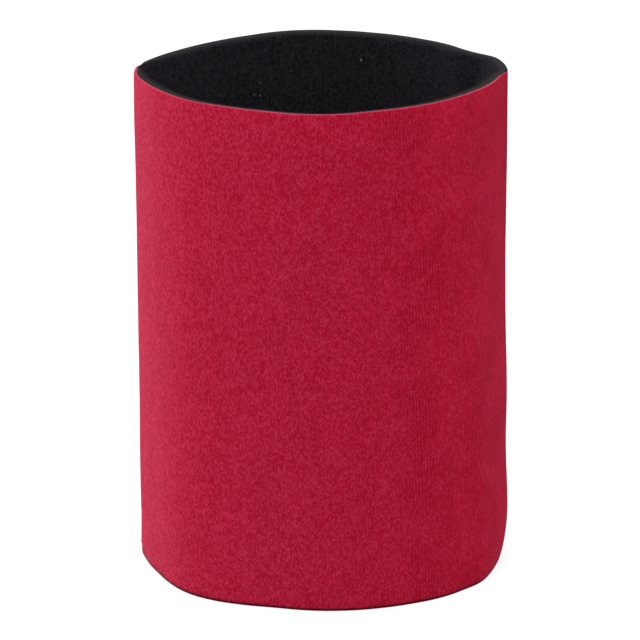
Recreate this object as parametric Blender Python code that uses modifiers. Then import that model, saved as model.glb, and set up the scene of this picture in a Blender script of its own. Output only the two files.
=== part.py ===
# A collapsible can cooler sleeve, standing opened up as it does when it is empty.
#
# One sheet of soft foam laminate, red outside and black inside, is wrapped round and sewn edge to
# edge down the left corner. The right corner is only folded. An oval of the same laminate closes the
# bottom, and a fold across it lets the whole sleeve pack flat.
#
# Lengths are in metres, +Z is up and the front is -Y. The origin is on the ground, under the middle.

import math
from typing import NamedTuple

import bmesh
import bpy
import numpy as np


class Plan(NamedTuple):
    """A pinched oval seen from above: its four half sizes, and how full each quarter is."""

    left: float
    right: float
    front: float
    back: float
    front_left: float
    front_right: float
    back_left: float
    back_right: float


# Driving sizes
HEIGHT = 0.105
WALL = 0.003
MOUTH = Plan(
    left=0.0383,
    right=0.0367,
    front=0.0340,
    back=0.0269,
    front_left=0.95,
    front_right=0.74,
    back_left=0.22,
    back_right=0.37,
)
FOOT = Plan(
    left=0.0379,
    right=0.0377,
    front=0.0313,
    back=0.0263,
    front_left=1.16,
    front_right=1.10,
    back_left=0.50,
    back_right=0.32,
)

# The front leans in a little at the lip, and the cut edges are barely rounded
LIP_HEIGHT = 0.009
LIP_LEAN = 0.0005
EDGE_ROUND = 0.0004

# Both corners of the foot are drawn up off the ground, and the folded one is rounded in
SEAM_LIFT = 0.0027
FOLD_LIFT = 0.0012
LIFT_REACH = 0.022
LIFT_POWER = 6
FOLD_TUCK = 0.0011
TUCK_HEIGHT = 0.012

# The groove over the seam, with its places measured round the outside from the corner to the front
GROOVE_DEPTH = 0.0006
GROOVE_WIDTH = 0.0011
GROOVE_AT_FOOT = 0.0022
GROOVE_AT_MOUTH = -0.0016

# The base
CREASE_RISE = 0.0022
CREASE_REACH = 0.013
SEAT_GAP = 0.0003

# The stitches, which lie just off the lining
THREAD = 0.0005
THREAD_GAP = 0.0003
BASE_STITCH = 0.0040
BASE_BITE = 0.0024
SIDE_STITCH = 0.0034
SIDE_BITE = 0.0022
SIDE_TO_BASE_STITCHES = 0.0019
SIDE_TO_MOUTH = 0.0025

# How finely the curved walls are drawn
OUTLINE_STEPS = 720
LOOP_SHARE = 0.995
RING_HALF = 52
CORNER_CROWDING = 0.72
WALL_LEVELS = 13
LEVEL_CROWDING = 0.7
BASE_COLUMNS = 28
BASE_ROWS = 14
# The base's end columns stop just short of the corners, where they would shrink to points
BASE_END_SHARE = 0.997
EDGE_SEGMENTS = 2
EDGE_ANGLE = math.radians(60)
THREAD_ROUNDNESS = 1

RED = (0.38, 0.012, 0.035, 1.0)
BLACK = (0.012, 0.011, 0.013, 1.0)
GREY = (0.045, 0.042, 0.048, 1.0)


def clear_scene():
    for thing in list(bpy.data.objects):
        bpy.data.objects.remove(thing, do_unlink=True)


def material(name, colour, roughness):
    made = bpy.data.materials.new(name)
    made.use_nodes = True
    made.diffuse_color = colour
    shader = made.node_tree.nodes["Principled BSDF"]
    shader.inputs["Base Color"].default_value = colour
    shader.inputs["Roughness"].default_value = roughness
    shader.inputs["Metallic"].default_value = 0.0
    return made


def outer_outline(level):
    """The outside of the wall at one level: a closed line of points that starts at the right fold."""
    share = level / HEIGHT
    plan = Plan(*(foot + (mouth - foot) * share for foot, mouth in zip(FOOT, MOUTH)))
    turn = np.linspace(0.0, 2.0 * math.pi, OUTLINE_STEPS, endpoint=False)
    across, along = np.cos(turn), np.sin(turn)
    on_right, on_back = across > 0, along > 0
    fullness = np.where(
        on_back,
        np.where(on_right, plan.back_right, plan.back_left),
        np.where(on_right, plan.front_right, plan.front_left),
    )
    x = np.where(on_right, plan.right, plan.left) * across
    y = np.where(on_back, plan.back, plan.front) * along * (fullness + (1 - fullness) * abs(along))
    x -= foot_tuck(level) * np.where(on_right, abs(across) ** LIFT_POWER, 0.0)
    y += lip_lean(level) * np.where(on_back, 0.0, -along)
    return np.column_stack([x, y])


def foot_tuck(level):
    """How far the fold is rounded in just above the ground."""
    down = max(0.0, 1.0 - level / TUCK_HEIGHT)
    return FOLD_TUCK * (1.0 - math.sqrt(1.0 - down * down))


def into_lip(level):
    """Zero below the lip, one at the very top."""
    return max(0.0, 1.0 - (HEIGHT - level) / LIP_HEIGHT)


def lip_lean(level):
    """How far the front leans in at the lip."""
    return LIP_LEAN * into_lip(level) ** 2


def inset(outline, distance):
    """The line that lies this far inside a closed outline, without the loops that tight corners leave."""
    ahead = np.roll(outline, -1, axis=0) - np.roll(outline, 1, axis=0)
    ahead /= np.linalg.norm(ahead, axis=1)[:, None]
    moved = outline + distance * np.column_stack([-ahead[:, 1], ahead[:, 0]])
    gaps = np.linalg.norm(moved[:, None, :] - outline[None, :, :], axis=2).min(axis=1)
    return moved[gaps > LOOP_SHARE * distance]


def arc_lengths(line):
    steps = np.linalg.norm(np.diff(line, axis=0), axis=1)
    return np.concatenate([[0.0], np.cumsum(steps)])


def at_lengths(line, lengths):
    along = arc_lengths(line)
    return np.column_stack([np.interp(lengths, along, line[:, axis]) for axis in (0, 1)])


def halves(outline):
    """The outline as two lines: fold to seam round the back, then seam to fold round the front."""
    line = np.roll(outline, -int(outline[:, 0].argmax()), axis=0)
    seam = int(line[:, 0].argmin())
    return line[: seam + 1], np.vstack([line[seam:], line[:1]])


def crowded(count, crowding):
    """Shares from zero to one that lie closer together near both ends."""
    share = np.linspace(0.0, 1.0, count)
    return share - crowding * np.sin(2.0 * math.pi * share) / (2.0 * math.pi)


def ring(outline):
    """Points round an outline, from the fold by the back, closest together at the fold and the seam."""
    share = crowded(RING_HALF + 1, CORNER_CROWDING)
    points = [at_lengths(half, share * arc_lengths(half)[-1])[:-1] for half in halves(outline)]
    return np.vstack(points)


def foot_lift(x, level):
    """How far the two corners are drawn up off the ground; it fades out up the wall."""
    corner = np.where(x < 0, SEAM_LIFT, FOLD_LIFT)
    half = np.where(x < 0, FOOT.left, FOOT.right)
    fade = max(0.0, 1.0 - level / LIFT_REACH) ** 2
    return corner * np.minimum(1.0, abs(x) / half) ** LIFT_POWER * fade


def grooved(points, level):
    """The shallow groove on the outside where the two edges of the sheet meet."""
    along = arc_lengths(np.vstack([points, points[:1]]))
    place = GROOVE_AT_FOOT + (GROOVE_AT_MOUTH - GROOVE_AT_FOOT) * level / HEIGHT
    away = along[:-1] - along[RING_HALF] - place
    depth = GROOVE_DEPTH * np.exp(-((away / GROOVE_WIDTH) ** 2))
    ahead = np.roll(points, -1, axis=0) - np.roll(points, 1, axis=0)
    ahead /= np.linalg.norm(ahead, axis=1)[:, None]
    return points + depth[:, None] * np.column_stack([-ahead[:, 1], ahead[:, 0]])


def levels():
    """Heights of the rings, closer together near the foot and the mouth."""
    return HEIGHT * crowded(WALL_LEVELS, LEVEL_CROWDING)


def new_object(name, mesh, collection, *materials):
    made = bpy.data.objects.new(name, mesh)
    for each in materials:
        mesh.materials.append(each)
    collection.objects.link(made)
    return made


def lip_dip(points, level):
    """How far the inner edge of the lip tips down in front, where the cut is square to a leaning wall."""
    slope = 2.0 * LIP_LEAN / LIP_HEIGHT * into_lip(level)
    return WALL * slope * np.clip(-points[:, 1] / MOUTH.front, 0.0, 1.0)


def ring_of_verts(form, points, heights):
    return [form.verts.new((x, y, z)) for (x, y), z in zip(points, heights)]


def skin_between(form, lower, upper, slot):
    """A band of faces between two rings, facing out when lower is the ring that lies below."""
    count = len(lower)
    for spot in range(count):
        after = (spot + 1) % count
        face = form.faces.new((lower[spot], lower[after], upper[after], upper[spot]))
        face.material_index = slot


def body_panel(collection, red, black, grey):
    """The wrapped sheet: a loft between the foot and the mouth, with its cut edges at both ends."""
    form = bmesh.new()
    outside, inside = [], []
    for level in levels():
        outline = outer_outline(level)
        skin = grooved(ring(outline), level)
        lining = ring(inset(outline, WALL))
        outside.append(ring_of_verts(form, skin, level + foot_lift(skin[:, 0], level)))
        height = level + foot_lift(lining[:, 0], level) - lip_dip(lining, level)
        inside.append(ring_of_verts(form, lining, height))
    for lower, upper in zip(outside, outside[1:]):
        skin_between(form, lower, upper, 0)
    for lower, upper in zip(inside, inside[1:]):
        skin_between(form, upper, lower, 1)
    skin_between(form, outside[-1], inside[-1], 2)
    skin_between(form, inside[0], outside[0], 2)
    mesh = bpy.data.meshes.new("body_panel")
    form.to_mesh(mesh)
    form.free()
    mesh.shade_smooth()
    body = new_object("body_panel", mesh, collection, red, black, grey)
    soften_edges(body)
    return body


def soften_edges(thing):
    bevel = thing.modifiers.new("cut_edges", "BEVEL")
    bevel.width = EDGE_ROUND
    bevel.segments = EDGE_SEGMENTS
    bevel.limit_method = "ANGLE"
    bevel.angle_limit = EDGE_ANGLE


def crease(y):
    """Height of the fold that crosses the base from the seam to the right fold."""
    away = np.minimum(1.0, abs(y) / CREASE_REACH)
    return CREASE_RISE * (1.0 - away * away) ** 2


def base_panel(collection, red, black, grey):
    """The oval floor: a grid drawn out to the inside of the foot and folded up along its middle."""
    form = bmesh.new()
    bmesh.ops.create_grid(form, x_segments=BASE_COLUMNS, y_segments=BASE_ROWS, size=1.0)
    back, front = halves(inset(outer_outline(0.0), WALL + SEAT_GAP))
    middle, reach = (back[0, 0] + back[-1, 0]) / 2, (back[0, 0] - back[-1, 0]) / 2
    for vert in form.verts:
        x = middle + BASE_END_SHARE * reach * math.sin(vert.co.x * math.pi / 2)
        low = np.interp(x, front[:, 0], front[:, 1])
        high = np.interp(x, back[::-1, 0], back[::-1, 1])
        y = low + (high - low) * (vert.co.y + 1) / 2
        vert.co = (x, y, crease(y))
    raised = bmesh.ops.extrude_face_region(form, geom=form.faces[:])["geom"]
    upper = [each for each in raised if isinstance(each, bmesh.types.BMVert)]
    bmesh.ops.translate(form, verts=upper, vec=(0.0, 0.0, WALL))
    bmesh.ops.recalc_face_normals(form, faces=form.faces[:])
    for face in form.faces:
        face.material_index = 0 if face.normal.z < -0.5 else 1 if face.normal.z > 0.5 else 2
    mesh = bpy.data.meshes.new("base_panel")
    form.to_mesh(mesh)
    form.free()
    mesh.shade_smooth()
    base = new_object("base_panel", mesh, collection, red, black, grey)
    soften_edges(base)
    return base


def thread(name, points, closed, collection, colour):
    curve = bpy.data.curves.new(name, "CURVE")
    curve.dimensions = "3D"
    curve.bevel_depth = THREAD / 2
    curve.bevel_resolution = THREAD_ROUNDNESS
    curve.use_fill_caps = True
    spline = curve.splines.new("POLY")
    spline.points.add(len(points) - 1)
    for point, place in zip(spline.points, points):
        point.co = (*place, 1.0)
    spline.use_cyclic_u = closed
    return new_object(name, curve, collection, colour)


def side_seam_thread(collection, colour):
    """Zigzag stitches over the seam's inside, from above the base to just under the mouth."""
    start = WALL + CREASE_RISE + BASE_BITE + SIDE_TO_BASE_STITCHES
    length = HEIGHT - SIDE_TO_MOUTH - start
    stitches = 2 * round(length / SIDE_STITCH)
    points = []
    for number in range(stitches + 1):
        level = start + length * number / stitches
        back, front = halves(inset(outer_outline(level), WALL + THREAD_GAP + THREAD / 2))
        on_back = number % 2
        away = arc_lengths(back)[-1] - SIDE_BITE if on_back else SIDE_BITE
        x, y = at_lengths(back if on_back else front, [away])[0]
        points.append((x, y, level + float(foot_lift(x, level))))
    return thread("side_seam_thread", points, False, collection, colour)


def base_seam_thread(collection, colour):
    """Zigzag stitches right round, alternately through the base and through the wall above it."""
    on_base = halves(inset(outer_outline(WALL), WALL + BASE_BITE))
    on_wall = halves(inset(outer_outline(WALL + BASE_BITE), WALL + THREAD_GAP + THREAD / 2))
    points = []
    for base_line, wall_line in zip(on_base, on_wall):
        stitches = 2 * round(arc_lengths(wall_line)[-1] / BASE_STITCH)
        for number in range(stitches):
            line = wall_line if number % 2 else base_line
            x, y = at_lengths(line, [arc_lengths(line)[-1] * number / stitches])[0]
            lift = BASE_BITE if number % 2 else THREAD_GAP + THREAD / 2
            points.append((x, y, WALL + float(crease(y)) + lift))
    return thread("base_seam_thread", points, True, collection, colour)


def stand_over_origin(parts, collection):
    """Hangs the parts on an empty that puts the middle of the body over the origin."""
    corners = np.array([vert.co[:] for vert in parts[0].data.vertices])
    middle = (corners.min(axis=0) + corners.max(axis=0)) / 2
    stand = bpy.data.objects.new("can_cooler_sleeve", None)
    collection.objects.link(stand)
    stand.location = (-middle[0], -middle[1], 0.0)
    for part in parts:
        part.parent = stand


def main():
    clear_scene()
    collection = bpy.data.collections.new("can_cooler_sleeve_parts")
    bpy.context.scene.collection.children.link(collection)
    red = material("red_knit", RED, 0.8)
    black = material("black_lining", BLACK, 0.9)
    grey = material("cut_foam", GREY, 0.95)
    colour = material("black_thread", BLACK, 0.7)
    parts = [
        body_panel(collection, red, black, grey),
        base_panel(collection, red, black, grey),
        side_seam_thread(collection, colour),
        base_seam_thread(collection, colour),
    ]
    stand_over_origin(parts, collection)


main()
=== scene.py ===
# %% [markdown]
# # A can cooler sleeve
# A can cooler is a soft sleeve that keeps a drink cold. This one packs flat, and here it stands
# opened up and empty, which is why its mouth is a pinched oval and not a circle. It is cut from one
# laminate: a red knit and a black knit, with a thin foam between them.
# The sizes come from a finished solid model. The script loads it, measures it, and puts a piece of
# real cloth in place of each plain solid.

import math

import bmesh
import bpy
import numpy as np
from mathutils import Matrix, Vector


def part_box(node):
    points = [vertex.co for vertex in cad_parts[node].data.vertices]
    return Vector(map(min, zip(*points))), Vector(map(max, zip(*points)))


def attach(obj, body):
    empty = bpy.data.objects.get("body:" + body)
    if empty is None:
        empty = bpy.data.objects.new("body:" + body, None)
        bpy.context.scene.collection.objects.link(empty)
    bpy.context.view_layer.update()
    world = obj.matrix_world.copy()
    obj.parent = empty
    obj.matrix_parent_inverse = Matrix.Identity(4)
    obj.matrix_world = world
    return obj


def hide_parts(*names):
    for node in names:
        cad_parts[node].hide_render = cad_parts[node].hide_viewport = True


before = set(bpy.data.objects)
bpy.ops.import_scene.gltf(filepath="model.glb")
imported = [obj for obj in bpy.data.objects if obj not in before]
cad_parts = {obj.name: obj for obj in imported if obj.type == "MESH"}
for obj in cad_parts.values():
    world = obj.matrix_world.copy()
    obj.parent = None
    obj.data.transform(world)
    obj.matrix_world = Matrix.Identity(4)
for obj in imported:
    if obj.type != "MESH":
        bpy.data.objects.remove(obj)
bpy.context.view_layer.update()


def show(piece):
    bpy.context.scene.collection.objects.link(piece)


MM = 0.001
print("solids:", sorted(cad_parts))

# %% Measure the model
body_low, body_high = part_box("body_panel")
HEIGHT = body_high.z - body_low.z
WALL = 3.0 * MM
print(f"sleeve {1000 * HEIGHT:.1f} mm high, wall {1000 * WALL:.1f} mm thick")

# %% [markdown]
# ## The camera
# The sleeve is seen straight from the front and from a little above, through a long lens, so its
# sides stay almost parallel. A short lens close by would show the same things, but it would spread
# the mouth and narrow the foot. The camera looks at a point inside the sleeve near mid height.

# %% Set up the camera
VIEW_TARGET = Vector((-0.75 * MM, 3.4 * MM, 51.16 * MM))
VIEW_ELEVATION = math.radians(19.0)
VIEW_DISTANCE = 1.05
LENS_MM = 289.6
SENSOR_MM = 36.0

camera_data = bpy.data.cameras.new("camera")
camera_data.lens = LENS_MM
camera_data.sensor_width = SENSOR_MM
camera = bpy.data.objects.new("camera", camera_data)
away = Vector((0.0, -math.cos(VIEW_ELEVATION), math.sin(VIEW_ELEVATION)))
camera.location = VIEW_TARGET + VIEW_DISTANCE * away
camera.rotation_euler = (math.pi / 2 - VIEW_ELEVATION, 0.0, 0.0)
show(camera)
bpy.context.scene.camera = camera
bpy.context.scene.view_settings.view_transform = "Standard"
print("camera at", [round(x, 3) for x in camera.location])

# %% [markdown]
# ## Light
# Knit looks its best in broad, soft light. Area lamps would do, but their light falls off across a
# white floor and leaves it grey. A sun lamp with a wide angle is just as soft and is even
# everywhere, so four of them light the sleeve. Two stand in front and keep its face even. Two
# stand a little behind it and brighten its sides: a strong one on the left, where the red is also
# painted paler, and a weak one on the right. The world adds the light that comes from all round.

# %% Hang the four lamps
def lamp(name, azimuth, elevation, strength, softness):
    """A soft lamp at an azimuth from the front, positive to the right, and a height in degrees."""
    light = bpy.data.lights.new(name, "SUN")
    light.energy = strength
    light.angle = math.radians(softness)
    hung = bpy.data.objects.new(name, light)
    side, up = math.radians(azimuth), math.radians(elevation)
    towards = Vector((math.sin(side) * math.cos(up), -math.cos(side) * math.cos(up), math.sin(up)))
    hung.rotation_euler = towards.to_track_quat("Z", "Y").to_euler()
    show(hung)


lamp("front_light", -26.0, 34.0, 1.95, 30.0)
lamp("right_light", 58.0, 30.0, 1.32, 50.0)
lamp("left_rim_light", -122.0, 28.0, 4.05, 62.0)
lamp("right_rim_light", 120.0, 28.0, 1.75, 36.0)
ROOM_LIGHT = 0.35
print("four lamps, and", ROOM_LIGHT, "from the room")

# %% [markdown]
# ## Floor and background
# The background is plain white. The world could simply be bright, but then it would flood the
# sleeve with light. A Light Path node shows white to the camera and to reflections, and gives
# everything else the gentler light of the room. The floor does the same: part of its white is its
# own and part is lit, so that the shadow under the sleeve still shows.

# %% Make the white room
def shader_nodes(owner):
    """Empty the owner's node tree and give it back."""
    owner.use_nodes = True
    tree = owner.node_tree
    tree.nodes.clear()
    return tree


def node(tree, kind, inputs=None, **settings):
    """A new node, its inputs filled by values or by other nodes' outputs."""
    made = tree.nodes.new(kind)
    for name, value in settings.items():
        setattr(made, name, value)
    for name, value in (inputs or {}).items():
        if isinstance(value, bpy.types.NodeSocket):
            tree.links.new(value, made.inputs[name])
        else:
            made.inputs[name].default_value = value
    return made


def math_node(tree, operation, *values, clamp=False):
    inputs = dict(enumerate(values))
    return node(tree, "ShaderNodeMath", inputs, operation=operation, use_clamp=clamp).outputs[0]


def times(tree, first, second):
    return math_node(tree, "MULTIPLY", first, second)


def split(tree, vector):
    return node(tree, "ShaderNodeSeparateXYZ", {0: vector}).outputs


def seen_directly(tree):
    """One where the camera, a reflection or glass looks, and zero for light that bounces."""
    path = node(tree, "ShaderNodeLightPath")
    seen = math_node(tree, "MAXIMUM", path.outputs["Is Camera Ray"], path.outputs["Is Glossy Ray"])
    return math_node(tree, "MAXIMUM", seen, path.outputs["Is Transmission Ray"])


room = bpy.data.worlds.new("white_room")
bpy.context.scene.world = room
tree = shader_nodes(room)
strength = math_node(tree, "MAXIMUM", seen_directly(tree), ROOM_LIGHT)
white = {"Color": (1.0, 1.0, 1.0, 1.0), "Strength": strength}
background = node(tree, "ShaderNodeBackground", white)
node(tree, "ShaderNodeOutputWorld", {"Surface": background.outputs[0]})
print("room:", room.name)

# %% Lay the floor
FLOOR_SIDE = 6.0
FLOOR_GAP = 0.05 * MM
FLOOR_LIT = 0.22
FLOOR_OWN = 0.80

bpy.ops.object.select_all(action="DESELECT")
bpy.ops.mesh.primitive_plane_add(size=FLOOR_SIDE, location=(0.0, 0.0, body_low.z - FLOOR_GAP))
floor = bpy.context.object
floor.name = "floor"
bpy.ops.object.transform_apply(location=True)
white_floor = bpy.data.materials.new("white_floor")
tree = shader_nodes(white_floor)
lit = node(tree, "ShaderNodeBsdfDiffuse", {"Color": (FLOOR_LIT, FLOOR_LIT, FLOOR_LIT, 1.0)})
own_white = times(tree, seen_directly(tree), FLOOR_OWN)
glow = node(tree, "ShaderNodeEmission", {"Strength": own_white})
both = node(tree, "ShaderNodeAddShader", {0: lit.outputs[0], 1: glow.outputs[0]})
node(tree, "ShaderNodeOutputMaterial", {"Surface": both.outputs[0]})
floor.data.materials.append(white_floor)
print("floor", FLOOR_SIDE, "m wide")

# %% [markdown]
# ## Two outlines to wrap the cloth round
# The real sleeve starts as a flat rectangle of laminate that is wrapped round and sewn edge to
# edge. The script makes it in the same way, so it needs the line that the cloth follows at the foot
# and at the mouth. Drawing both ovals by hand would be guesswork. A copy of the solid body is cut
# across at two heights where its wall is straight, and the outlines are run on from those to the
# ground and to the rim.

# %% Slice the solid body
def only(*pieces):
    """Select these pieces and nothing else."""
    bpy.ops.object.select_all(action="DESELECT")
    for piece in pieces:
        piece.select_set(True)
    bpy.context.view_layer.objects.active = pieces[0]


def edit(piece):
    """Open a piece in edit mode with all of it selected."""
    only(piece)
    bpy.ops.object.mode_set(mode="EDIT")
    bpy.ops.mesh.select_all(action="SELECT")


def stop_editing():
    bpy.ops.object.mode_set(mode="OBJECT")


def body_slice(height):
    """The closed lines, outside and lining, where the solid body is cut across at a height."""
    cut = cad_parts["body_panel"].copy()
    cut.data = cut.data.copy()
    cut.parent = None
    show(cut)
    edit(cut)
    bpy.ops.mesh.remove_doubles(threshold=MERGE_WITHIN)
    bpy.ops.mesh.bisect(
        plane_co=(0.0, 0.0, height), plane_no=(0.0, 0.0, 1.0), clear_inner=True, clear_outer=True
    )
    stop_editing()
    bpy.ops.object.convert(target="CURVE")
    lines = [np.array([p.co[:2] for p in line.points]) for line in cut.data.splines]
    bpy.data.objects.remove(cut)
    return sorted(lines, key=lambda line: -np.ptp(line[:, 0]))


MERGE_WITHIN = 0.001 * MM
LOW_CUT = 22.5 * MM
HIGH_CUT = 95.5 * MM
low_outside, low_lining = body_slice(LOW_CUT)
high_outside, high_lining = body_slice(HIGH_CUT)
four = (low_outside, low_lining, high_outside, high_lining)
print("points in the four outlines:", *map(len, four))

# %% Start each outline at the seam
SEAM_SEARCH = 6.0 * MM
PATH_POINTS = 26
PATH_CROWDING = 0.75


def along(line):
    """How far along a line each of its points lies."""
    steps = np.linalg.norm(np.diff(line, axis=0), axis=1)
    return np.concatenate([[0.0], np.cumsum(steps)])


def turning(line):
    """How sharply a closed line turns left at each point."""
    before, after = line - np.roll(line, 1, axis=0), np.roll(line, -1, axis=0) - line
    return before[:, 0] * after[:, 1] - before[:, 1] * after[:, 0]


def front_first(line):
    """The same closed line, turned so that it runs by the front: anticlockwise from above."""
    return line if turning(line).sum() > 0 else line[::-1]


def spaced(line, count):
    """A line drawn again with this many points, closest together at its two ends."""
    share = np.linspace(0.0, 1.0, count)
    share -= PATH_CROWDING * np.sin(2.0 * math.pi * share) / (2.0 * math.pi)
    length = along(line)
    return np.column_stack([np.interp(share * length[-1], length, line[:, k]) for k in (0, 1)])


def from_seam(line, hollow):
    """An open line from the seam by the front and the fold back to the seam.

    The seam is at the bottom of the groove on the outside, and in the corner of the lining."""
    line = front_first(line)
    near = line[:, 0] < line[:, 0].min() + SEAM_SEARCH
    sharpness = turning(line) / np.linalg.norm(np.roll(line, -1, axis=0) - line, axis=1)
    seam = np.where(near, sharpness, np.inf).argmin() if hollow else line[:, 0].argmin()
    line = np.roll(line, -int(seam), axis=0)
    line = np.vstack([line, line[:1]])
    fold = int(line[:, 0].argmax())
    front, back = spaced(line[: fold + 1], PATH_POINTS), spaced(line[fold:], PATH_POINTS)
    return np.vstack([front[:-1], back])


def foot_and_mouth(low, high):
    """Run the straight wall on from its two slices to the ground and to the rim."""
    rise = (high - low) / (HIGH_CUT - LOW_CUT)
    return low - rise * LOW_CUT, high + rise * (HEIGHT - HIGH_CUT)


foot_outside, mouth_outside = foot_and_mouth(
    from_seam(low_outside, hollow=True), from_seam(high_outside, hollow=True)
)
foot_lining, mouth_lining = foot_and_mouth(
    from_seam(low_lining, hollow=False), from_seam(high_lining, hollow=False)
)
print("round the mouth:", round(1000 * along(mouth_outside)[-1], 1), "mm")

# %% [markdown]
# A soft sleeve is never as even as its solid model. Its mouth leans a hair to the left, the back of
# it dips before the right fold and swells again at the fold, and the foot stands a little fuller on
# the left. Each of these is a nudge of about two millimetres at most to a short stretch of an
# outline. Nudges fade out smoothly to both sides, so no kink shows in the wall.

# %% Nudge the outlines
MOUTH_LEAN = -0.2 * MM
# Each nudge: its place, its reach, and its shifts in x and y in mm. A place is zero at the seam,
# one at the fold, and two back at the seam.
MOUTH_NUDGES = (
    (0.060, 0.050, 0.0, -0.8),
    (0.360, 0.090, 0.0, 0.5),
    (0.500, 0.100, 0.0, -0.5),
    (0.620, 0.080, 0.0, 0.5),
    (0.933, 0.053, 0.0, 0.9),
    (0.990, 0.040, 0.0, -2.1),
    (1.058, 0.058, 0.0, 1.5),
    (1.154, 0.060, 0.0, -0.7),
    (1.570, 0.150, 0.0, 0.6),
)
FOOT_NUDGES = (
    (0.130, 0.070, 0.0, 0.7),
    (0.220, 0.140, -0.3, -0.6),
    (0.400, 0.090, 0.0, 0.4),
    (0.520, 0.180, 0.0, -0.6),
    (0.850, 0.060, 0.0, -1.0),
    (0.955, 0.045, 0.0, 0.7),
)
# One more for the outside of the foot alone, which stands a hair further out beside the seam.
SEAM_TURN = (0.030, 0.030, -0.22, 0.0)


def nudged(line, nudges):
    """Shift short stretches of an outline, each by the share of a smooth hump."""
    line = line.copy()
    length = along(line)
    at_fold, at_end = length[PATH_POINTS - 1], length[-1]
    past_fold = 2.0 - (at_end - length) / (at_end - at_fold)
    round_by = np.where(length < at_fold, length / at_fold, past_fold)
    for place, reach, shift_x, shift_y in nudges:
        away = np.minimum(np.abs(round_by - place) / reach, 1.0)
        hump = 0.5 + 0.5 * np.cos(math.pi * away)
        line += hump[:, None] * np.array([shift_x, shift_y]) * MM
    return line


lean = np.array([MOUTH_LEAN, 0.0])
mouth_outside = nudged(mouth_outside, MOUTH_NUDGES) + lean
mouth_lining = nudged(mouth_lining, MOUTH_NUDGES) + lean
foot_outside = nudged(foot_outside, (*FOOT_NUDGES, SEAM_TURN))
foot_lining = nudged(foot_lining, FOOT_NUDGES)
right_end = mouth_outside[mouth_outside[:, 0].argmax()]
print("right end of the mouth at", (right_end / MM).round(1), "mm")

# %% Draw the outlines as smooth paths
PATH_SMOOTHNESS = 16


def path(name, points):
    """A smooth open path on the ground that a flat piece can be stretched along."""
    curve = bpy.data.curves.new(name, "CURVE")
    curve.dimensions = "3D"
    curve.twist_mode = "Z_UP"
    curve.resolution_u = PATH_SMOOTHNESS
    curve.use_stretch = True
    curve.use_deform_bounds = True
    line = curve.splines.new("BEZIER")
    line.bezier_points.add(len(points) - 1)
    for knot, (x, y) in zip(line.bezier_points, points):
        knot.co = (x, y, 0.0)
        knot.handle_left_type = knot.handle_right_type = "AUTO"
    drawn = bpy.data.objects.new(name, curve)
    show(drawn)
    return drawn


paths = {
    "outside": (path("foot_outside", foot_outside), path("mouth_outside", mouth_outside)),
    "lining": (path("foot_lining", foot_lining), path("mouth_lining", mouth_lining)),
}
for name, pair in paths.items():
    lengths = [1000 * drawn.data.splines[0].calc_length() for drawn in pair]
    print(f"{name}: {lengths[0]:.1f} mm at the foot, {lengths[1]:.1f} mm at the mouth")

# %% [markdown]
# ## The flat sheet
# Each face of the laminate is a rectangle of knit. It is a grid that stands up facing the front,
# as wide as the sleeve is round and as high as the sleeve. The grid's own UV map goes with it when
# it is bent, so the rows of the knit will run straight round and up the finished sleeve. Near both
# ends a few more cuts are made, close together, because the seam there needs fine detail.

# %% Cut a flat sheet of knit
SHEET_WIDTH = 208.0 * MM
SHEET_COLUMNS = 300
SHEET_ROWS = 120
SEAM_CUTS = tuple(step * MM for step in (0.12, 0.26, 0.42, 1.02))


def flat_sheet(name):
    """A standing grid of knit, with extra cuts beside the two edges that meet at the seam."""
    bpy.ops.object.select_all(action="DESELECT")
    bpy.ops.mesh.primitive_grid_add(
        x_subdivisions=SHEET_COLUMNS,
        y_subdivisions=SHEET_ROWS,
        size=1.0,
        rotation=(math.pi / 2, 0.0, 0.0),
    )
    sheet = bpy.context.object
    sheet.name = sheet.data.name = name
    sheet.scale = (SHEET_WIDTH, HEIGHT, 1.0)
    sheet.location = (SHEET_WIDTH / 2, 0.0, HEIGHT / 2)
    bpy.ops.object.transform_apply(location=True, rotation=True, scale=True)
    edit(sheet)
    for step in SEAM_CUTS:
        for place in (step, SHEET_WIDTH - step):
            bpy.ops.mesh.select_all(action="SELECT")
            bpy.ops.mesh.bisect(plane_co=(place, 0.0, 0.0), plane_no=(1.0, 0.0, 0.0))
    stop_editing()
    return sheet


outside = flat_sheet("outside")
lining = flat_sheet("lining")
print("each sheet:", len(outside.data.polygons), "faces")

# %% [markdown]
# ## Wrap the sheets
# A Curve modifier bends a flat piece along a path. The sleeve follows one path at the foot and
# another at the mouth, so each sheet is bent twice and the two results are kept as shape keys. A
# vertex group that grows with height then blends one into the other, which gives straight walls
# between two different ovals. A loft made point by point would look the same, but it would lose the
# flat sheet and its UV map.

# %% Bend each sheet from foot to mouth
def clamped(value):
    return min(1.0, max(0.0, value))


def paint(piece, name, share):
    """A vertex group that holds a share from zero to one for each point of the piece."""
    group = piece.vertex_groups.new(name=name)
    for point in piece.data.vertices:
        group.add([point.index], clamped(float(share(point.co))), "REPLACE")


def wrap(piece, foot_path, mouth_path):
    """Bend a flat sheet along both paths, and blend between them up its height."""
    paint(piece, "height", lambda place: place.z / HEIGHT)
    only(piece)
    for each in (foot_path, mouth_path):
        bend = piece.modifiers.new(each.name, "CURVE")
        bend.object = each
        bend.deform_axis = "POS_X"
        piece.active_shape_key_index = 0
        bpy.ops.object.modifier_apply_as_shapekey(modifier=bend.name)
    keys = piece.data.shape_keys.key_blocks
    keys[foot_path.name].value = 1.0
    keys[mouth_path.name].relative_key = keys[foot_path.name]
    keys[mouth_path.name].vertex_group = "height"
    keys[mouth_path.name].value = 1.0
    piece.active_shape_key_index = len(keys) - 1
    bpy.ops.object.shape_key_remove(all=True, apply_mix=True)
    piece.vertex_groups.clear()


for piece, name in ((outside, "outside"), (lining, "lining")):
    wrap(piece, *paths[name])
    print(name, [round(1000 * side, 1) for side in piece.dimensions])

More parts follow.
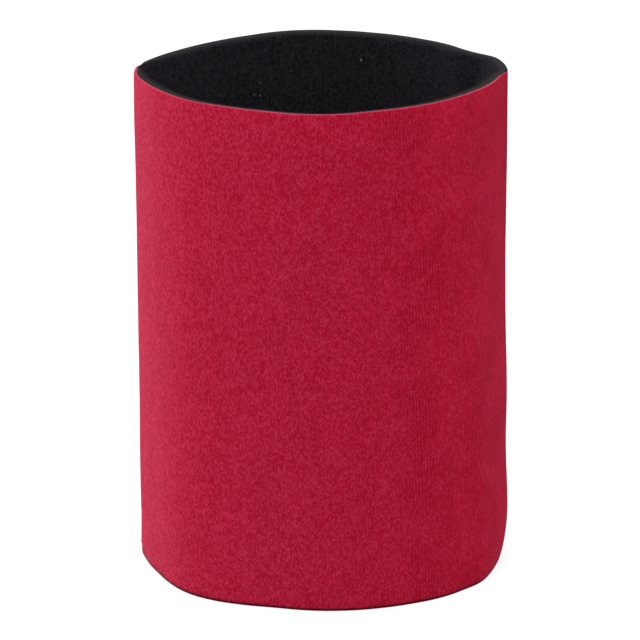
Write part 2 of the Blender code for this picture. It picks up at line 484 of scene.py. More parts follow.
# %% Sew the two ends together
SEW_WITHIN = 0.02 * MM


def merge_ends(piece):
    """Join the points where a sheet's two ends meet, and count what is left."""
    edit(piece)
    bpy.ops.mesh.remove_doubles(threshold=SEW_WITHIN)
    stop_editing()
    return len(piece.data.vertices)


print("points after sewing:", merge_ends(outside), merge_ends(lining))

# %% [markdown]
# ## Let the cloth relax
# Real laminate doesn't stand on the ground all round. The seam pulls the left corner of the foot
# up, and the fold lifts the right one a little and rounds it in. At the rim the front leans in.
# Each of these is a small push in one direction that fades out, so a Displace modifier does it,
# with a vertex group painted in code that says how much of the push each point takes.

# %% Push by a painted share
CORNER_POWER = 6


def apply_all(piece):
    """Apply every modifier of a piece, in order."""
    only(piece)
    for modifier in list(piece.modifiers):
        bpy.ops.object.modifier_apply(modifier=modifier.name)


def push(piece, axis, distance, share, texture=None):
    """Move each point of a piece along an axis by its own share of a distance."""
    paint(piece, "share", share)
    move = piece.modifiers.new("push", "DISPLACE")
    move.direction = axis
    move.strength = distance
    move.mid_level = 0.0
    move.vertex_group = "share"
    if texture:
        move.texture = texture
        move.mid_level = 0.5
    apply_all(piece)
    piece.vertex_groups.clear()


def corner(place, side, half=body_high.x):
    """One in the left (-1) or right (+1) corner, and almost nothing a third of the way in."""
    return clamped(side * place.x / half) ** CORNER_POWER


def fade(distance, reach):
    """One at no distance, falling off to zero at the reach."""
    return max(0.0, 1.0 - distance / reach) ** 2


third_in = Vector((body_high.x * 2.0 / 3.0, 0.0, 0.0))
print("share left a third of the way in from a corner:", round(corner(third_in, 1.0), 3))

# %% Draw up the corners of the foot and lean the lip
SEAM_LIFT = 2.2 * MM
FOLD_LIFT = 1.2 * MM
LIFT_REACH = 22.0 * MM
FOLD_TUCK = 1.9 * MM
TUCK_REACH = 12.0 * MM
LIP_REACH = 9.0 * MM
LIP_LEAN = 0.5 * MM
# The fold is drawn in a little at three heights: height, reach and depth in mm.
FOLD_WAISTS = ((66.0, 30.0, 0.30), (24.0, 14.0, 0.32), (60.0, 50.0, 0.24))
SEAM_LINE = Vector((foot_lining[0][0], foot_lining[0][1], 0.0))


def tuck(place, half):
    """How much the foot of the right fold is rounded in here, from zero to one."""
    down = clamped(1.0 - place.z / TUCK_REACH)
    return corner(place, 1.0, half) * (1.0 - math.sqrt(1.0 - down * down))


def front_share(place):
    """Zero along the seam and the fold, and one at the middle of the front."""
    return (SEAM_LINE.y - place.y) / (SEAM_LINE.y - body_low.y)


def waist(place):
    """How far in the fold is drawn at this height, in millimetres."""
    drawn = 0.0
    for height, reach, depth in FOLD_WAISTS:
        away = min(1.0, abs(place.z / MM - height) / reach)
        drawn += depth * (0.5 + 0.5 * math.cos(math.pi * away))
    return drawn * corner(place, 1.0)


def lift(place):
    """How far the ground edge is drawn up here, in the left corner and in the right one."""
    return SEAM_LIFT * corner(place, -1.0) + FOLD_LIFT * corner(place, 1.0)


for piece in (outside, lining):
    half = piece.dimensions.x / 2
    push(piece, "X", -FOLD_TUCK, lambda place: tuck(place, half))
    push(piece, "X", -MM, waist)
    push(piece, "Z", SEAM_LIFT, lambda place: lift(place) / SEAM_LIFT * fade(place.z, LIFT_REACH))
    push(
        piece, "Y", LIP_LEAN, lambda place: front_share(place) * fade(HEIGHT - place.z, LIP_REACH)
    )
print("foot drawn up by", SEAM_LIFT / MM, "and", FOLD_LIFT / MM, "mm")

# %% Tip the inner edge of the lip
LIP_DIP = 0.75 * MM
BACK_DIP = 0.45 * MM


def lip_share(place):
    """All of the dip in front, and a smaller part of it behind."""
    front = front_share(place)
    dip = front if front > 0.0 else -front * BACK_DIP / LIP_DIP
    return dip * max(0.0, 1.0 - (HEIGHT - place.z) / LIP_REACH)


push(lining, "Z", -LIP_DIP, lip_share)
print("inner edge of the lip down by", LIP_DIP / MM, "mm in front and", BACK_DIP / MM, "mm behind")

# %% Pinch the seam at the mouth
PINCH_OVER = 0.5 * MM
PINCH_DEPTH = 1.6 * MM
PINCH_OUT = 1.7 * MM
PINCH_REACH = 6.0 * MM
seam_foot = Vector((*foot_outside[0], 0.0))
seam_mouth = Vector((*mouth_outside[0], HEIGHT))


def near_seam(place, reach):
    """One on the seam line, falling off smoothly with the distance from it."""
    line_point = seam_foot.lerp(seam_mouth, clamped(place.z / HEIGHT))
    return math.exp(-(((place - line_point).length / reach) ** 2))


def pinch(depth):
    """A share that is whole at the top of the seam and fades out downwards and sideways."""
    return lambda place: near_seam(place, PINCH_REACH) * fade(HEIGHT - place.z, depth)


push(outside, "X", PINCH_OVER, pinch(PINCH_DEPTH))
push(lining, "X", -PINCH_OUT, pinch(LIP_REACH))
print("red rolled over the edge by", PINCH_OVER / MM, "mm at the seam")

# %% [markdown]
# ## The seam outside
# Where the two ends of the sheet meet there is a fine groove up the left corner. The paths already
# dip there, because the solid has a shallow one. The cloth on both sides is now rolled into it a
# little further, with a small pucker at every stitch that pulls it in.

# %% Roll the cloth into the seam
SEAM_ROLL = 0.30 * MM
SEAM_ROLL_WIDTH = 0.45 * MM
PUCKER_SHARE = 0.25
SIDE_STITCH = 3.4 * MM
SEAM_END = 5.0 * MM


def seam_share(place):
    """How far the cloth is rolled in here: less between two stitches, and not at either end."""
    pucker = 1.0 - PUCKER_SHARE * (0.5 + 0.5 * math.cos(2.0 * math.pi * place.z / SIDE_STITCH))
    ends = clamped(min(place.z, HEIGHT - place.z) / SEAM_END)
    return pucker * ends * near_seam(place, SEAM_ROLL_WIDTH)


push(outside, "NORMAL", -SEAM_ROLL, seam_share)
print("seam rolled in by", SEAM_ROLL / MM, "mm")

# %% [markdown]
# ## The cut edges
# At the mouth and the foot the laminate is simply cut, so its layers show: the end of the red
# knit, the dark foam, and the end of the black knit. The two skins are joined, and a bridge with
# several cuts fills the gap at each end. A Solidify modifier could make the same thickness, but it
# would fold through itself in the tight corners. An attribute that runs from zero on the outside to
# one on the lining goes along, so that the materials can tell the layers apart.

# %% Join the two skins and bridge their edges
EDGE_BANDS = 6


def store(piece, name, value_at):
    """Keep a number for each point of a piece, where the materials can read it."""
    kept = piece.data.attributes.get(name) or piece.data.attributes.new(name, "FLOAT", "POINT")
    values = [value_at(point.co) for point in piece.data.vertices]
    kept.data.foreach_set("value", values)
    return values


def pick(piece, kind, test):
    """Open a piece in edit mode with only the parts that pass a test selected."""
    only(piece)
    bpy.ops.object.mode_set(mode="EDIT")
    bpy.ops.mesh.select_mode(type=kind)
    bpy.ops.mesh.select_all(action="DESELECT")
    form = bmesh.from_edit_mesh(piece.data)
    every = {"VERT": form.verts, "EDGE": form.edges, "FACE": form.faces}[kind]
    chosen = [each for each in every if test(each)]
    for each in chosen:
        each.select_set(True)
    form.select_flush_mode()
    bmesh.update_edit_mesh(piece.data)
    return len(chosen)


def open_edge(at_mouth):
    """A test for the open edges at the mouth, or else at the foot."""
    return lambda edge: edge.is_boundary and (edge.verts[0].co.z > HEIGHT / 2) == at_mouth


store(outside, "layer", lambda place: 0.0)
store(lining, "layer", lambda place: 1.0)
only(outside, lining)
bpy.ops.object.join()
sleeve = outside
sleeve.name = sleeve.data.name = "sleeve"
for at_mouth in (True, False):
    count = pick(sleeve, "EDGE", open_edge(at_mouth))
    bpy.ops.mesh.bridge_edge_loops(number_cuts=EDGE_BANDS - 1, interpolation="LINEAR")
    stop_editing()
    print("mouth" if at_mouth else "foot", "edges bridged:", count)

# %% Round the cut edges
EDGE_ROUND = 0.35 * MM
FOOT_ROUND = 0.45 * MM
EDGE_SEGMENTS = 3
RIM_REACH = 5.0 * MM
SHARP_ANGLE = math.radians(50.0)


def rim_edge(at_mouth):
    """A test for the sharp edges near the mouth, or else near the foot."""

    def sharp(edge):
        high = edge.verts[0].co.z
        at_rim = high > HEIGHT - RIM_REACH if at_mouth else high < RIM_REACH
        return at_rim and edge.is_manifold and edge.calc_face_angle(0.0) > SHARP_ANGLE

    return sharp


def face_outwards(piece):
    edit(piece)
    bpy.ops.mesh.normals_make_consistent(inside=False)
    stop_editing()


face_outwards(sleeve)
for at_mouth, radius in ((True, EDGE_ROUND), (False, FOOT_ROUND)):
    count = pick(sleeve, "EDGE", rim_edge(at_mouth))
    bpy.ops.mesh.bevel(offset=radius, segments=EDGE_SEGMENTS, affect="EDGES")
    stop_editing()
    print("edges rounded:", count)

# %% [markdown]
# Two lines on the red face get painted shade: the groove of the seam, and the edge that meets the
# ground. Their own shadow is too weak for that in so white a room, and a dark strip of cloth would
# show from the side. So an attribute marks the points on them, and the red is painted darker there.
# Last, a cloud texture moves the cloth in and out by a hair, because no real sheet is quite even.

# %% Mark the lines painted in shade
# How high the painted shade reaches above the ground edge, and how far it fades out.
GROUND_LINE = 0.50 * MM
GROUND_FADE = 0.40 * MM


def painted_shade_line(place):
    """Painted shade: one along the seam and along the ground edge, where hardly any light gets in.
    """
    above = max(0.0, place.z - lift(place) - GROUND_LINE)
    return max(near_seam(place, SEAM_ROLL_WIDTH), 1.0 - above / GROUND_FADE, 0.0)


marks = store(sleeve, "painted_shade_line", painted_shade_line)
print("points on the dark lines:", sum(mark > 0.5 for mark in marks))

# %% Loosen the cloth a little
SOFT_SIZE = 0.028
SOFT_DEPTH = 0.35 * MM

soft = bpy.data.textures.new("soft_hand", "CLOUDS")
soft.noise_scale = SOFT_SIZE
push(sleeve, "NORMAL", SOFT_DEPTH, lambda place: min(1.0, place.z / RIM_REACH), texture=soft)
bpy.ops.object.shade_smooth()
sides = [round(1000 * side, 2) for side in sleeve.dimensions]
print("sleeve:", len(sleeve.data.polygons), "faces,", sides, "mm")

# %% [markdown]
# ## The base
# An oval of the same laminate closes the foot, red side down. It is folded up along its middle,
# from the seam to the right fold, which is how the sleeve packs flat. Its outline is the lining's
# own foot line moved in by a hair. The front and the back halves of that line are turned into two
# rows of edges, and a bridge between them makes the floor in even rows. Filling the outline with
# one face would be quicker, but a single face can't be folded. The base is sewn to the wall, so its
# two ends ride up with the corners of the foot.

# %% Draw the base's two edges
SEAT_GAP = 0.3 * MM
BASE_COLUMNS = 96
BASE_ROWS = 48
END_WIDTH = 1.0 * MM
SEARCH_POINTS = 4000
CREASE_RISE = 2.2 * MM
CREASE_REACH = 13.0 * MM


def crease(y):
    """How far the base rises towards the crease along its middle, as a share of the whole rise."""
    across = min(1.0, abs(y - SEAM_LINE.y) / CREASE_REACH)
    return (1.0 - across * across) ** 2


def tucked(line, up):
    """The foot line with the right fold rounded in, this far above the base's underside."""
    moved = line.copy()
    half = line[:, 0].max()
    places = [Vector((x, y, up + CREASE_RISE * crease(y))) for x, y in line]
    moved[:, 0] -= [FOLD_TUCK * tuck(place, half) for place in places]
    return moved


def drawn_in(line, distance):
    """A line that runs anticlockwise, moved this far to its inner side."""
    ahead = np.gradient(line, axis=0)
    ahead /= np.linalg.norm(ahead, axis=1)[:, None]
    return line + distance * np.column_stack([-ahead[:, 1], ahead[:, 0]])


def front_and_back(line, distance, count):
    """Both halves of a foot line moved in, left corner to right, at the same places in x."""
    middle = len(line) // 2
    front = drawn_in(line[: middle + 1], distance)
    back = drawn_in(line[middle:], distance)[::-1]
    x = np.linspace(line[:, 0].min(), line[:, 0].max(), SEARCH_POINTS)
    low, high = (np.interp(x, half[:, 0], half[:, 1]) for half in (front, back))
    left, right = max(front[0, 0], back[0, 0]), min(front[-1, 0], back[-1, 0])
    wide = x[(high - low > END_WIDTH) & (x > left) & (x < right)]
    share = 0.5 - 0.5 * np.cos(np.linspace(0.0, math.pi, count))
    spread = wide[0] + (wide[-1] - wide[0]) * share
    rows = (np.interp(spread, half[:, 0], half[:, 1]) for half in (front, back))
    return [np.column_stack([spread, row]) for row in rows]


seat_line = tucked(foot_lining, WALL / 2)
base_front, base_back = front_and_back(seat_line, SEAT_GAP, BASE_COLUMNS + 1)
outline = bpy.data.curves.new("base", "CURVE")
outline.dimensions = "3D"
for half in (base_front, base_back):
    row = outline.splines.new("POLY")
    row.points.add(len(half) - 1)
    for point, (x, y) in zip(row.points, half):
        point.co = (x, y, 0.0, 1.0)
base = bpy.data.objects.new("base", outline)
show(base)
only(base)
bpy.ops.object.convert(target="MESH")
print("base outline:", len(base.data.vertices), "points")

# %% Bridge, crease and thicken the base
def base_layer(place):
    """Zero on the base's red underside, and one on its black upper side."""
    above = place.z - CREASE_RISE * crease(place.y) - lift(place)
    return clamped(above / WALL)


edit(base)
bpy.ops.mesh.bridge_edge_loops(number_cuts=BASE_ROWS - 1, interpolation="LINEAR")
bpy.ops.mesh.normals_make_consistent(inside=False)
stop_editing()
push(base, "Z", CREASE_RISE, lambda place: crease(place.y))
push(base, "Z", SEAM_LIFT, lambda place: lift(place) / SEAM_LIFT)
thick = base.modifiers.new("laminate", "SOLIDIFY")
thick.thickness = WALL
thick.offset = 1.0 if base.data.polygons[0].normal.z > 0 else -1.0
apply_all(base)
face_outwards(base)
store(base, "layer", base_layer)
pick(base, "EDGE", lambda edge: edge.calc_face_angle(0.0) > SHARP_ANGLE)
bpy.ops.mesh.bevel(offset=EDGE_ROUND, segments=EDGE_SEGMENTS, affect="EDGES", clamp_overlap=True)
stop_editing()
bpy.ops.object.shade_smooth()


def span(piece):
    """The lowest and the highest corner of a piece, in millimetres."""
    places = np.array([point.co for point in piece.data.vertices]) / MM
    return places.min(axis=0).round(2).tolist(), places.max(axis=0).round(2).tolist()


print("base from", *span(base))

# %% Lay the knit's pattern on the base
def lay_pattern(piece):
    """A flat UV map, at the same scale as the one on the wrapped sheets."""
    pattern = piece.data.uv_layers.new(name="UVMap")
    for corner_of_face in piece.data.loops:
        place = piece.data.vertices[corner_of_face.vertex_index].co
        pattern.data[corner_of_face.index].uv = (place.x / SHEET_WIDTH, place.y / HEIGHT)


lay_pattern(base)
print("pattern laid on", len(base.data.polygons), "faces")

# %% [markdown]
# ## The stitches
# Two rows of black zigzag hold the sleeve together: one up the inside of the seam, and one round
# the base. In a real row every stitch is the same short length of thread that goes into the cloth
# at both ends. So one stitch is modelled, and a copy of it is laid from each needle hole to the
# next. One long bent tube would be simpler, but it would never go into the cloth. Each hole is put
# on the nearest point of the cloth itself, so that no stitch floats off it.

# %% Model one stitch
THREAD = 0.5 * MM
STITCH_SIDES = 8
STITCH_CUTS = 5
STITCH_SINK = 0.30 * MM

bpy.ops.object.select_all(action="DESELECT")
bpy.ops.mesh.primitive_cylinder_add(
    vertices=STITCH_SIDES, radius=THREAD / 2, depth=1.0, rotation=(0.0, math.pi / 2, 0.0)
)
stitch = bpy.context.object
bpy.ops.object.transform_apply(rotation=True)
edit(stitch)
for cut in range(1, STITCH_CUTS + 1):
    bpy.ops.mesh.select_all(action="SELECT")
    place = cut / (STITCH_CUTS + 1) - 0.5
    bpy.ops.mesh.bisect(plane_co=(place, 0.0, 0.0), plane_no=(1.0, 0.0, 0.0))
stop_editing()
bpy.ops.object.shade_smooth_by_angle(angle=SHARP_ANGLE)
print("one stitch:", len(stitch.data.polygons), "faces")

# %% Find the needle holes
SIDE_BITE = 2.2 * MM
BASE_BITE = 2.4 * MM
BASE_STITCH = 4.0 * MM
SIDE_START = 9.5 * MM
SIDE_END = HEIGHT - 2.5 * MM


def lining_line(height):
    """The line of the lining at one height, from the seam by the front and back to the seam."""
    share = height / HEIGHT
    return foot_lining * (1.0 - share) + mouth_lining * share


def on_line(line, length):
    """The point this far along a closed line; a negative length counts back from its end."""
    run = along(line)
    return [float(np.interp(length % run[-1], run, line[:, axis])) for axis in (0, 1)]


def on_cloth(piece, x, y, z):
    """The point of a piece's surface that is nearest to a place."""
    return piece.closest_point_on_mesh(Vector((x, y, z)))[1].copy()


bpy.context.view_layer.update()
side_holes = []
side_count = 2 * round((SIDE_END - SIDE_START) / SIDE_STITCH)
for number in range(side_count + 1):
    height = SIDE_START + (SIDE_END - SIDE_START) * number / side_count
    x, y = on_line(lining_line(height), -SIDE_BITE if number % 2 else SIDE_BITE)
    side_holes.append(on_cloth(sleeve, x, y, height))

base_holes = []
wall_line = tucked(lining_line(WALL + BASE_BITE), WALL + BASE_BITE)
floor_line = drawn_in(tucked(lining_line(WALL), WALL), BASE_BITE)
base_count = 2 * round(along(wall_line)[-1] / BASE_STITCH)
for number in range(base_count):
    in_wall = number % 2 == 1
    line = wall_line if in_wall else floor_line
    x, y = on_line(line, along(line)[-1] * (number + 0.5) / base_count)
    up = WALL + CREASE_RISE * crease(y) + lift(Vector((x, y, 0.0)))
    cloth, rise = (sleeve, BASE_BITE) if in_wall else (base, 0.0)
    base_holes.append(on_cloth(cloth, x, y, up + rise))
print("needle holes:", len(side_holes), "up the seam and", len(base_holes), "round the base")

# %% Lay the stitches from hole to hole
def stitch_row(name, holes):
    """Copies of the stitch, one between each two holes, joined into one row."""
    laid = []
    for start, end in zip(holes, holes[1:]):
        run = end - start
        copy = stitch.copy()
        copy.data = stitch.data.copy()
        copy.location = (start + end) / 2
        copy.rotation_euler = run.to_track_quat("X", "Z").to_euler()
        copy.scale = (run.length + 2.0 * STITCH_SINK, 1.0, 1.0)
        show(copy)
        laid.append(copy)
    only(*laid)
    bpy.ops.object.join()
    row = bpy.context.object
    row.name = row.data.name = name
    bpy.ops.object.transform_apply(location=True, rotation=True, scale=True)
    return row


side_stitches = stitch_row("side_stitches", side_holes)
base_stitches = stitch_row("base_stitches", base_holes + base_holes[:1])
bpy.data.objects.remove(stitch)
print("side stitches from", *span(side_stitches))
print("base stitches from", *span(base_stitches))

# %% [markdown]
# ## The knit
# Seen close up, jersey is made of columns of small V shapes, called wales. At the camera's distance
# they are only two or three pixels wide and show as faint upright lines with a heathered speckle.
# An image of cloth could be used, but it would repeat and blur. A node group draws the loops from
# the UV map instead, at their real size, so the same group serves the red face and the black one.

# %% Knit loops: height and shade
LOOP_SLANT = 0.65
LOOP_SWELL = 0.3


def arch(tree, share):
    """Zero at both ends of a share, and one in its middle."""
    return math_node(tree, "SINE", times(tree, share, math.pi))


knit = bpy.data.node_groups.new("knit_loops", "ShaderNodeTree")
for way, kind, names in (
    ("INPUT", "NodeSocketVector", ["Place"]),
    ("INPUT", "NodeSocketFloat", ["Wales", "Courses"]),
    ("OUTPUT", "NodeSocketFloat", ["Height", "Shade", "Gap"]),
):
    for name in names:
        knit.interface.new_socket(name=name, in_out=way, socket_type=kind)
given = node(knit, "NodeGroupInput").outputs
place = split(knit, given["Place"])
across = times(knit, place["X"], given["Wales"])
up = times(knit, place["Y"], given["Courses"])
to_middle = times(knit, math_node(knit, "PINGPONG", across, 0.5), 2.0)
slanted = math_node(knit, "ADD", up, times(knit, to_middle, LOOP_SLANT))
loop = arch(knit, math_node(knit, "FRACT", slanted))
swell = math_node(knit, "ADD", 1.0 - LOOP_SWELL, times(knit, loop, LOOP_SWELL))
rounded = times(knit, arch(knit, to_middle), swell)
gap = math_node(knit, "POWER", math_node(knit, "SUBTRACT", 1.0, to_middle), 2.0)
column = math_node(knit, "FLOOR", times(knit, across, 2.0))
row = math_node(knit, "FLOOR", slanted)
cell = node(knit, "ShaderNodeCombineXYZ", {"X": column, "Y": row}).outputs[0]
chance = node(knit, "ShaderNodeTexWhiteNoise", {"Vector": cell}, noise_dimensions="2D")
shade = chance.outputs["Value"]
node(knit, "NodeGroupOutput", {"Height": rounded, "Shade": shade, "Gap": gap})
print("knit group:", len(knit.nodes), "nodes")

# %% [markdown]
# ## What the materials share
# Every layer is matt cloth or foam with a fine relief. The room is white all round, so even a
# little gloss would lay a grey haze over it: gloss is off, and sheen stands in for the fibre ends.
# The relief could be modelled, but at the size of a pixel a bump looks the same.

# %% Gather what the materials share
WALE = 0.70 * MM
COURSE = 0.42 * MM
NO_GLOSS = 0.0
MATT = 0.9
FIBRE_SCALE = 1500.0
FIBRES = (0.30, 0.70)


def noise(tree, vector, scale, detail=2.0, roughness=0.5):
    inputs = {"Vector": vector, "Scale": scale, "Detail": detail, "Roughness": roughness}
    return node(tree, "ShaderNodeTexNoise", inputs).outputs["Fac"]


def mixed(tree, share, first, second):
    """Two colours mixed by a share; each is a colour or another node's output."""
    first, second = ((*x, 1.0) if isinstance(x, tuple) else x for x in (first, second))
    inputs = {0: share, 6: first, 7: second}
    return node(tree, "ShaderNodeMix", inputs, data_type="RGBA").outputs[2]


def mapped(tree, value, low, high, to_low=0.0, to_high=1.0):
    """A value turned from one range into another, and held inside it."""
    ends = {"From Min": low, "From Max": high, "To Min": to_low, "To Max": to_high}
    return node(tree, "ShaderNodeMapRange", {"Value": value, **ends}).outputs["Result"]


def stored_value(tree, name):
    return node(tree, "ShaderNodeAttribute", attribute_name=name).outputs["Fac"]


def knitted(tree, width, loop_share):
    """The knit on a sheet this wide: its loops, the places they lie in, and a shade for each."""
    uv = node(tree, "ShaderNodeUVMap", uv_map="UVMap").outputs["UV"]
    places = node(tree, "ShaderNodeTexCoord").outputs["Object"]
    inputs = {"Place": uv, "Wales": round(width / WALE), "Courses": round(HEIGHT / COURSE)}
    loops = node(tree, "ShaderNodeGroup", inputs, node_tree=knit).outputs
    by_loop = times(tree, loops["Shade"], loop_share)
    fibres = mapped(tree, noise(tree, places, FIBRE_SCALE), *FIBRES)
    shade = math_node(tree, "ADD", by_loop, times(tree, fibres, 1.0 - loop_share))
    return loops, places, shade


def finish_material(tree, colour, height, depth, roughness, sheen, sheen_tint, sheen_roughness):
    """The shader and its output, with its colour and bump plugged in."""
    relief = {"Strength": 1.0, "Distance": depth, "Height": height}
    look = {
        "Base Color": colour,
        "Roughness": roughness,
        "Specular IOR Level": NO_GLOSS,
        "Sheen Weight": sheen,
        "Sheen Roughness": sheen_roughness,
        "Sheen Tint": (*sheen_tint, 1.0),
        "Normal": node(tree, "ShaderNodeBump", relief).outputs["Normal"],
    }
    shader = node(tree, "ShaderNodeBsdfPrincipled", look)
    node(tree, "ShaderNodeOutputMaterial", {"Surface": shader.outputs[0]})


def new_material(name):
    made = bpy.data.materials.new(name)
    return made, shader_nodes(made)


print("wales round:", round(SHEET_WIDTH / WALE), "and courses up:", round(HEIGHT / COURSE))

# %% [markdown]
# ## Red face
# The red is deep and slightly pink, and varies from loop to loop. It is painted paler on the left
# and deeper on the right, as painted light. The gaps between its wales get painted shade in
# patches, most on the right. At a cut edge a thin pale line is painted, partly frayed fibre ends
# and partly a painted highlight. A plain matt surface would lack the haze of fibre ends that sheen
# gives.

# %% Make the red knit
RED_DARK = (0.357, 0.0045, 0.0235)
RED_PALE = (0.497, 0.0250, 0.0655)
# Painted shade in the gaps between the wales.
RED_GAP_SHADE = (0.190, 0.0003, 0.0060)
# A thin pale line at the cut edge: partly frayed fibre ends, partly a painted highlight.
RED_FRAY_AND_HIGHLIGHT = (0.370, 0.0400, 0.0750)
# Painted shade: the colour of the seam's groove and of the ground edge.
PAINTED_SHADE_COLOUR = (0.035, 0.002, 0.005)
PAINTED_SHADE_STRENGTH = 0.85
FEW_PALE = 1.6
FRAY_AND_HIGHLIGHT_STARTS = 0.004
RED_LOOP_SHARE = 0.8
CLOUD_SCALE = 330.0
PATCH_SCALE = 110.0
# Each range: its two ends, and what they become where that isn't zero and one.
CLOUDS = (0.30, 0.70, -0.05, 0.05)
PATCHES = (0.42, 0.62)
# Painted light: the red is painted paler on the left, where the strongest light falls, and deeper
# on the right.
PAINTED_LIGHT_LEFT = (-30.0 * MM, 32.0 * MM, 0.14, -0.20)
# Painted shade: the gaps between the wales are painted darker towards the right, away from the left
# light.
GAP_SHADE_RIGHT = (4.0 * MM, 24.0 * MM, 0.15, 0.65)

red_knit, tree = new_material("red_knit")
loops, places, shade = knitted(tree, SHEET_WIDTH, RED_LOOP_SHARE)
sideways = split(tree, places)["X"]
cloudy = mapped(tree, noise(tree, places, CLOUD_SCALE), *CLOUDS)
# Random clouds, plus the painted light that makes the left paler.
clouds_and_painted_light = math_node(tree, "ADD", cloudy, mapped(tree, sideways, *PAINTED_LIGHT_LEFT))
speckle_and_painted_light = math_node(tree, "POWER", math_node(tree, "ADD", shade, clouds_and_painted_light, clamp=True), FEW_PALE)
colour = mixed(tree, speckle_and_painted_light, RED_DARK, RED_PALE)
patches = mapped(tree, noise(tree, places, PATCH_SCALE), *PATCHES)
# How much painted shade the gaps get: in random patches, and more on the right.
clear = times(tree, patches, mapped(tree, sideways, *GAP_SHADE_RIGHT))
colour = mixed(tree, times(tree, loops["Gap"], clear), colour, RED_GAP_SHADE)
# Painted shade along the seam's groove and the ground edge.
dark = math_node(tree, "MULTIPLY", stored_value(tree, "painted_shade_line"), PAINTED_SHADE_STRENGTH, clamp=True)
colour = mixed(tree, dark, colour, PAINTED_SHADE_COLOUR)
# The pale line at the cut edge: frayed fibre ends and a painted highlight.
fray_and_highlight = mapped(tree, stored_value(tree, "layer"), FRAY_AND_HIGHLIGHT_STARTS, 3.0 * FRAY_AND_HIGHLIGHT_STARTS)
colour = mixed(tree, fray_and_highlight, colour, RED_FRAY_AND_HIGHLIGHT)
finish_material(
    tree,
    colour,
    height=loops["Height"],
    depth=0.09 * MM,
    roughness=MATT,
    sheen=0.17,
    sheen_tint=(1.0, 0.50, 0.68),
    sheen_roughness=0.30,
)
print("red knit:", len(tree.nodes), "nodes")

# %% [markdown]
# ## Black lining
# Inside, the same knit is black. It is a little bluish, its wales show as faint ribs with painted
# shade in the gaps between them, and a few specks of pale lint cling to it.

# %% Make the black lining
LINING_WIDTH = 189.0 * MM
BLACK = (0.0030, 0.0028, 0.0038)
BLACK_PALE = (0.0215, 0.0198, 0.0240)
LINT = (0.16, 0.14, 0.12)
BLACK_LOOP_SHARE = 0.6
# Painted shade in the gaps between the wales, which makes the ribs.
GAP_SHADE_STRENGTH = 0.3
LINT_SCALE = 300.0
LINT_SIZE = (0.08, 0.05)
FEW_SCALE = 90.0
FEW = (0.58, 0.62)

black_lining, tree = new_material("black_lining")
loops, places, shade = knitted(tree, LINING_WIDTH, BLACK_LOOP_SHARE)
colour = mixed(tree, shade, BLACK, BLACK_PALE)
colour = mixed(tree, times(tree, loops["Gap"], GAP_SHADE_STRENGTH), colour, BLACK)
lint = node(tree, "ShaderNodeTexVoronoi", {"Vector": places, "Scale": LINT_SCALE})
few = mapped(tree, noise(tree, places, FEW_SCALE), *FEW)
speck = times(tree, mapped(tree, lint.outputs["Distance"], *LINT_SIZE), few)
colour = mixed(tree, speck, colour, LINT)
finish_material(
    tree,
    colour,
    height=loops["Height"],
    depth=0.10 * MM,
    roughness=MATT,
    sheen=0.02,
    sheen_tint=(0.8, 0.8, 1.0),
    sheen_roughness=0.5,
)
print("black lining:", len(tree.nodes), "nodes")

# %% [markdown]
# ## The cut through the laminate
# A cut edge shows three layers in three millimetres. The layer attribute goes into a colour ramp:
# a dark red line where the knit is glued on, dark grey foam that is palest near the red, and the
# black of the lining. The foam is full of tiny cells, so noise roughens it, and its low cells get
# painted shade.

# %% Make the cut edge
FOAM_STOPS = (
    (0.04, (0.034, 0.008, 0.014)),
    (0.12, (0.022, 0.019, 0.022)),
    (0.30, (0.026, 0.025, 0.026)),
    (0.50, (0.021, 0.020, 0.021)),
    (0.74, (0.012, 0.011, 0.012)),
    (0.90, (0.007, 0.0065, 0.0075)),
)
CELL_SCALE = 5200.0
CELL_GRAIN = 0.10
# Painted shade in the foam's low cells.
PORE_SHADE = (0.006, 0.006, 0.006)
PORE_SHADE_RANGE = (0.3, 0.7, 0.35, 0.0)

cut_edge, tree = new_material("cut_edge")
places = node(tree, "ShaderNodeTexCoord").outputs["Object"]
cells = noise(tree, places, CELL_SCALE, detail=3.0, roughness=0.6)
grain = times(tree, math_node(tree, "SUBTRACT", cells, 0.5), CELL_GRAIN)
depth = math_node(tree, "ADD", stored_value(tree, "layer"), grain)
ramp = node(tree, "ShaderNodeValToRGB")
while len(ramp.color_ramp.elements) < len(FOAM_STOPS):
    ramp.color_ramp.elements.new(0.5)
for stop, (position, colour) in zip(ramp.color_ramp.elements, FOAM_STOPS):
    stop.position = position
    stop.color = (*colour, 1.0)
tree.links.new(depth, ramp.inputs["Fac"])
colour = mixed(tree, mapped(tree, cells, *PORE_SHADE_RANGE), ramp.outputs["Color"], PORE_SHADE)
finish_material(
    tree,
    colour,
    height=cells,
    depth=0.10 * MM,
    roughness=MATT,
    sheen=0.006,
    sheen_tint=(1.0, 1.0, 1.0),
    sheen_roughness=0.5,
)
print("cut edge:", len(tree.nodes), "nodes")

# %% Make the thread
PLIES = 3.0
PLY_TURNS = 8.0
# The plies get painted shade in the grooves between them and a painted highlight on their crowns.
PLY_GROOVE_SHADE = (0.006, 0.006, 0.007)
PLY_CROWN_HIGHLIGHT = (0.020, 0.019, 0.022)

black_thread, tree = new_material("black_thread")
turns = split(tree, node(tree, "ShaderNodeUVMap", uv_map="UVMap").outputs["UV"])
wound = times(tree, turns["Y"], PLY_TURNS)
twisted = math_node(tree, "ADD", times(tree, turns["X"], PLIES), wound)
ply = arch(tree, math_node(tree, "FRACT", twisted))
finish_material(
    tree,
    colour=mixed(tree, ply, PLY_GROOVE_SHADE, PLY_CROWN_HIGHLIGHT),
    height=ply,
    depth=0.08 * MM,
    roughness=0.55,
    sheen=0.15,
    sheen_tint=(1.0, 1.0, 1.0),
    sheen_roughness=0.3,
)
print("thread:", len(tree.nodes), "nodes")

# %% Give each face its layer's material
IN_RED, IN_BLACK, IN_CUT = range(3)
SKIN_DEPTH = 0.10
# How far a face may turn up at the back of the rim, or down at the foot, before the red ends.
CURL = 0.3
FOOT_CURL = 0.6
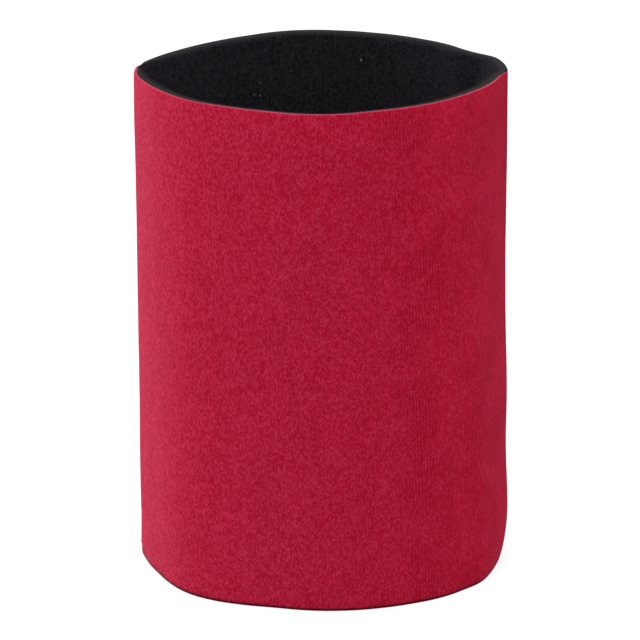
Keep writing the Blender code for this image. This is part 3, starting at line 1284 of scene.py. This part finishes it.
# Where the back of the rim starts at the fold, and the length over which the red draws back.
FOLD_CUT = -3.0 * MM
CUT_FADE = 6.0 * MM
# How much deeper the red reaches where it is rolled over at the seam, and how far from the seam.
ROLLED_SHARE = 0.25
ROLLED_REACH = 4.0 * MM


def bare_edge(face):
    """Where the red ends short of a rounded edge: under the foot, and on the back of the rim."""
    if face.center.z < HEIGHT / 2:
        return face.normal.z < -FOOT_CURL
    behind = face.center.y - (SEAM_LINE.y if face.center.x < 0.0 else FOLD_CUT)
    curl = CURL + (1.0 - CURL) * max(0.0, 1.0 - behind / CUT_FADE)
    return face.normal.z > curl and face.center.z > HEIGHT - EDGE_ROUND


def skin_depth(face):
    """How deep the red reaches: the outer skin, and more where it is rolled over at the seam."""
    if face.center.z <= HEIGHT / 2:
        return SKIN_DEPTH
    return SKIN_DEPTH + ROLLED_SHARE * near_seam(face.center, ROLLED_REACH)


def dress_laminate(piece, keep_red=lambda face: True):
    """Red knit outside, black lining inside, and the cut edge between them."""
    piece.data.materials.clear()
    for material in (red_knit, black_lining, cut_edge):
        piece.data.materials.append(material)
    deep = piece.data.attributes["layer"].data
    counts = [0, 0, 0]
    for face in piece.data.polygons:
        layer_share = sum(deep[number].value for number in face.vertices) / len(face.vertices)
        index = IN_CUT
        if layer_share < skin_depth(face):
            index = IN_RED if keep_red(face) else IN_CUT
        elif layer_share > 1.0 - SKIN_DEPTH:
            index = IN_BLACK
        face.material_index = index
        counts[index] += 1
    return counts


sleeve_faces = dress_laminate(sleeve, lambda face: not bare_edge(face))
print("sleeve faces in red, black and cut edge:", sleeve_faces)
print("base faces in red, black and cut edge:", dress_laminate(base))
for row in (side_stitches, base_stitches):
    row.data.materials.clear()
    row.data.materials.append(black_thread)

# %% Close up
for pair in paths.values():
    for drawn in pair:
        bpy.data.objects.remove(drawn)

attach(sleeve, "root")
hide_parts("body_panel")
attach(base, "root")
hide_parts("base_panel")
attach(side_stitches, "root")
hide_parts("side_seam_thread")
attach(base_stitches, "root")
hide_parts("base_seam_thread")
print("cloth in place of", sorted(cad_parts))
